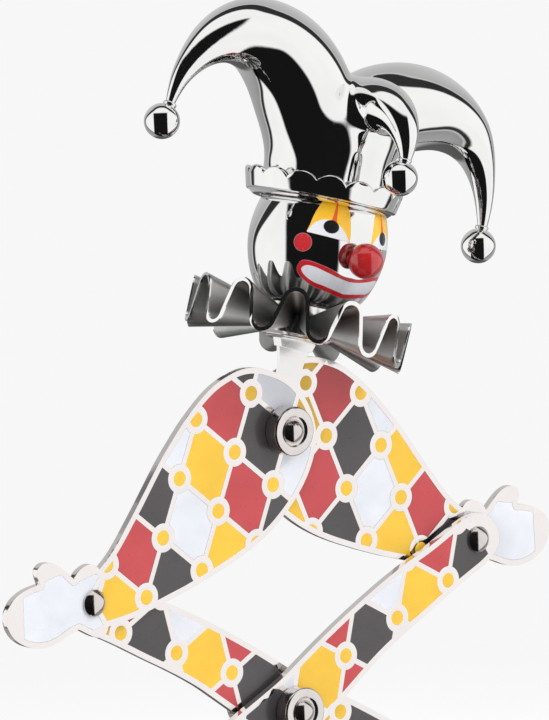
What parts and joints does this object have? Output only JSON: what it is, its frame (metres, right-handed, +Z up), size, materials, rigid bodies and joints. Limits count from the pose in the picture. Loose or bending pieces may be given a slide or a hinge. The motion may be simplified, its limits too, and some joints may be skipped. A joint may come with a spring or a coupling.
{
  "type": "jester figure on lazy tongs",
  "caption": "Jester figure with enamelled arms that rises on riveted folding lazy tongs, drawing a worm through a bottle bell below.",
  "frame": {"origin": "centre of the bottle bell's mouth, in the plane of its rim", "axes": "+Z up the worm towards the hat; -Y the way the face and the enamelled sides look; +X to the right as the face is looked at"},
  "size_m": [0.1392, 0.0526, 0.2364],
  "materials": {
    "plate_nickel": "polished nickel, faintly warm",
    "rivet_nickel": "polished nickel",
    "enamel_red": "hard gloss enamel",
    "enamel_yellow": "hard gloss enamel",
    "enamel_dark": "hard gloss enamel",
    "enamel_grey": "hard gloss enamel",
    "mirror_chrome": "mirror polished",
    "satin_chrome": "satin faces, polished edges",
    "nose_red": "wet gloss",
    "steel_worm": "polished steel",
    "bush_plastic": "smooth moulded"
  },
  "bodies": {
    "bell": {"bell_collar": "mirror_chrome", "bell_bracket": "mirror_chrome", "bracket_rivets": "rivet_nickel", "worm_bush": "bush_plastic", "seat_ring": "bush_plastic", "rivet_base": "rivet_nickel", "spacer_base": "rivet_nickel"},
    "leg_left": {"leg_left": "plate_nickel", "enamel_leg_left_dark": "enamel_dark", "enamel_leg_left_grey": "enamel_grey", "enamel_leg_left_red": "enamel_red", "enamel_leg_left_yellow": "enamel_yellow"},
    "leg_right": {"leg_right": "plate_nickel", "enamel_leg_right_dark": "enamel_dark", "enamel_leg_right_grey": "enamel_grey", "enamel_leg_right_red": "enamel_red", "enamel_leg_right_yellow": "enamel_yellow"},
    "link_front": {"link_front": "plate_nickel", "rivets_link_front": "rivet_nickel", "spacers_link_front": "rivet_nickel", "enamel_link_front_dark": "enamel_dark", "enamel_link_front_grey": "enamel_grey", "enamel_link_front_red": "enamel_red", "enamel_link_front_yellow": "enamel_yellow"},
    "link_back": {"link_back": "plate_nickel", "rivets_link_back": "rivet_nickel", "spacers_link_back": "rivet_nickel", "enamel_link_back_dark": "enamel_dark", "enamel_link_back_grey": "enamel_grey", "enamel_link_back_red": "enamel_red", "enamel_link_back_yellow": "enamel_yellow"},
    "arm_left": {"arm_left": "plate_nickel", "enamel_arm_left_dark": "enamel_dark", "enamel_arm_left_grey": "enamel_grey", "enamel_arm_left_red": "enamel_red", "enamel_arm_left_yellow": "enamel_yellow"},
    "arm_right": {"arm_right": "plate_nickel", "enamel_arm_right_dark": "enamel_dark", "enamel_arm_right_grey": "enamel_grey", "enamel_arm_right_red": "enamel_red", "enamel_arm_right_yellow": "enamel_yellow"},
    "worm_carrier": {"worm": "steel_worm", "worm_hub": "mirror_chrome", "rivet_mid": "rivet_nickel", "boss_mid_front": "rivet_nickel"},
    "top_pivot": {"rivet_top": "rivet_nickel", "boss_top_front": "rivet_nickel", "boss_top_rear": "rivet_nickel"},
    "head": {"neck": "mirror_chrome", "ruff": "satin_chrome", "head_shell": "mirror_chrome", "nose": "nose_red", "hat": "mirror_chrome", "hat_band": "mirror_chrome", "hat_balls": "mirror_chrome"}
  },
  "joints": [
    {"name": "fold", "type": "hinge", "parent": "bell", "child": "leg_left", "pos_m": [0, -0.00898, 0.04], "axis": [0, 1, 0], "range_deg": [-3.5, 16.5]},
    {"name": "leg_right_turn", "type": "hinge", "parent": "bell", "child": "leg_right", "pos_m": [0, -0.00898, 0.04], "axis": [0, 1, 0], "range_deg": [-16.55, 3.55]},
    {"name": "link_front_turn", "type": "hinge", "parent": "leg_left", "child": "link_front", "pos_m": [-0.04858, -0.00898, 0.06786], "axis": [0, 1, 0], "range_deg": [-33.05, 7.05]},
    {"name": "link_back_turn", "type": "hinge", "parent": "leg_right", "child": "link_back", "pos_m": [0.04858, -0.00898, 0.06786], "axis": [0, 1, 0], "range_deg": [-7.05, 33.05]},
    {"name": "arm_right_turn", "type": "hinge", "parent": "link_front", "child": "arm_right", "pos_m": [0.04858, -0.00898, 0.12359], "axis": [0, 1, 0], "range_deg": [-7.05, 33.05]},
    {"name": "arm_left_turn", "type": "hinge", "parent": "link_back", "child": "arm_left", "pos_m": [-0.04858, -0.00898, 0.12359], "axis": [0, 1, 0], "range_deg": [-33.05, 7.05]},
    {"name": "worm_hub_turn", "type": "hinge", "parent": "link_front", "child": "worm_carrier", "pos_m": [0, -0.00898, 0.09573], "axis": [0, 1, 0], "range_deg": [-3.55, 16.55]},
    {"name": "top_pivot_turn", "type": "hinge", "parent": "arm_left", "child": "top_pivot", "pos_m": [0, -0.00898, 0.15146], "axis": [0, 1, 0], "range_deg": [-3.55, 16.55]},
    {"name": "head_swing", "type": "hinge", "parent": "arm_left", "child": "head", "pos_m": [0, -0.00898, 0.15146], "axis": [0, 1, 0], "range_deg": [-16.5, 0]}
  ],
  "couplings": [
    {"joint": "leg_right_turn", "follows": "fold", "ratio": -1},
    {"joint": "link_front_turn", "follows": "fold", "ratio": -2},
    {"joint": "link_back_turn", "follows": "fold", "ratio": 2},
    {"joint": "arm_right_turn", "follows": "fold", "ratio": 2},
    {"joint": "arm_left_turn", "follows": "fold", "ratio": -2},
    {"joint": "worm_hub_turn", "follows": "fold", "ratio": 1},
    {"joint": "top_pivot_turn", "follows": "fold", "ratio": 1}
  ]
}
